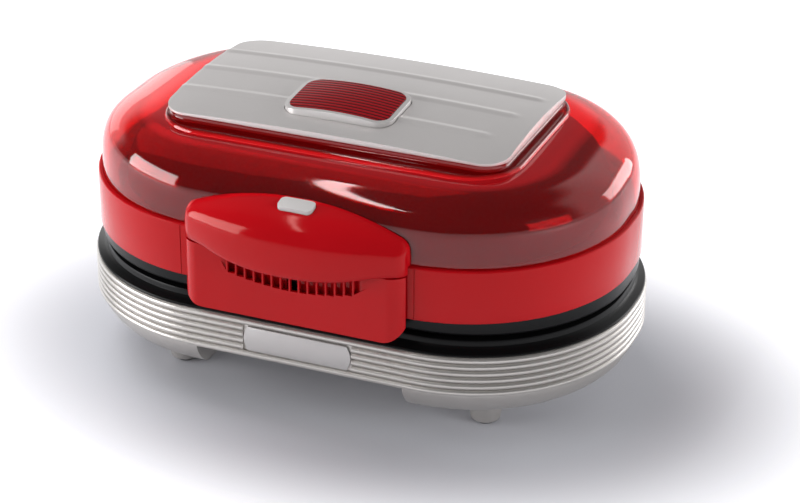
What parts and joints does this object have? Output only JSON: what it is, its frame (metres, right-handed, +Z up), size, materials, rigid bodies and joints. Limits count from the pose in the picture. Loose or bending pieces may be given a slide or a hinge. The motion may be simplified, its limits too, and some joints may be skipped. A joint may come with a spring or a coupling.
{
  "type": "countertop contact grill",
  "caption": "Countertop grill with a ribbed silver base, twin round cooking wells and a rear-hinged, domed red lid with a handle and release button.",
  "frame": {"origin": "centre of the overall bounding box in plan, on the surface that the feet stand on", "axes": "+X along the grill to its right end, -Y towards the handle, +Z up; the YZ plane is near enough its mirror plane, apart from the badge and the cord gland"},
  "size_m": [0.33, 0.2316, 0.1708],
  "materials": {
    "silver_paint": "satin silver paint over a moulded, ribbed shell",
    "brushed_metal": "fine satin brushed metal",
    "red_gloss": "high gloss red",
    "red_clear": "translucent deep red, polished",
    "badge_red": "deep red enamel with fine lengthwise lines",
    "black_gloss": "black, smooth",
    "non_stick": "dark non-stick coating on die-cast aluminium",
    "rubber": "matt black",
    "steel": "plain steel",
    "button_grey": "light grey, smooth",
    "ceramic": "pale glazed insulator, modelled as matt plastic"
  },
  "bodies": {
    "base": {"base_shell": "silver_paint", "pod_cover_left": "silver_paint", "pod_cover_right": "silver_paint", "tunnel_cover": "silver_paint", "nameplate": "brushed_metal", "base_housing": "black_gloss", "hinge_bracket_left": "black_gloss", "hinge_bracket_right": "black_gloss", "lower_grill_plate": "non_stick", "foot_pad_front_left": "rubber", "foot_pad_front_right": "rubber", "foot_pad_rear_left": "rubber", "foot_pad_rear_right": "rubber", "cord_gland": "rubber", "lower_heater": "steel", "lower_reflector": "steel", "latch_catch": "steel", "hinge_pin_left": "steel", "hinge_pin_right": "steel", "thermostat": "steel", "cover_screw_front_left": "steel", "cover_screw_front_right": "steel", "cover_screw_rear_left": "steel", "cover_screw_rear_right": "steel", "terminal_block": "ceramic"},
    "lid": {"lid_band": "red_gloss", "dome": "red_clear", "dome_liner": "black_gloss", "top_plate": "brushed_metal", "badge_bezel": "brushed_metal", "badge_insert": "badge_red", "lid_housing": "black_gloss", "upper_grill_plate": "non_stick", "upper_heater": "steel", "upper_reflector": "steel", "handle_body": "red_gloss", "handle_cap": "red_gloss", "hinge_arm_left": "black_gloss", "hinge_arm_right": "black_gloss", "latch_pivot": "steel", "button_spring": "steel"},
    "button": {"release_button": "button_grey"},
    "latch": {"latch_lever": "steel"}
  },
  "joints": [
    {"name": "lid_hinge", "type": "hinge", "parent": "base", "child": "lid", "pos_m": [0, 0.1083, 0.076], "axis": [-1, 0, 0], "range_deg": [0, 100]},
    {"name": "button_press", "type": "slide", "parent": "lid", "child": "button", "axis": [0, 0, -1], "range_m": [0, 0.0014], "stiffness_N_per_m": 600, "springref_m": -0.0015, "deforming": ["button_spring"]},
    {"name": "latch_turn", "type": "hinge", "parent": "lid", "child": "latch", "pos_m": [0, -0.0893, 0.092], "axis": [1, 0, 0], "range_deg": [0, 8]}
  ],
  "couplings": [
    {"joint": "latch_turn", "follows": "button_press", "rad_per_m": 99}
  ]
}
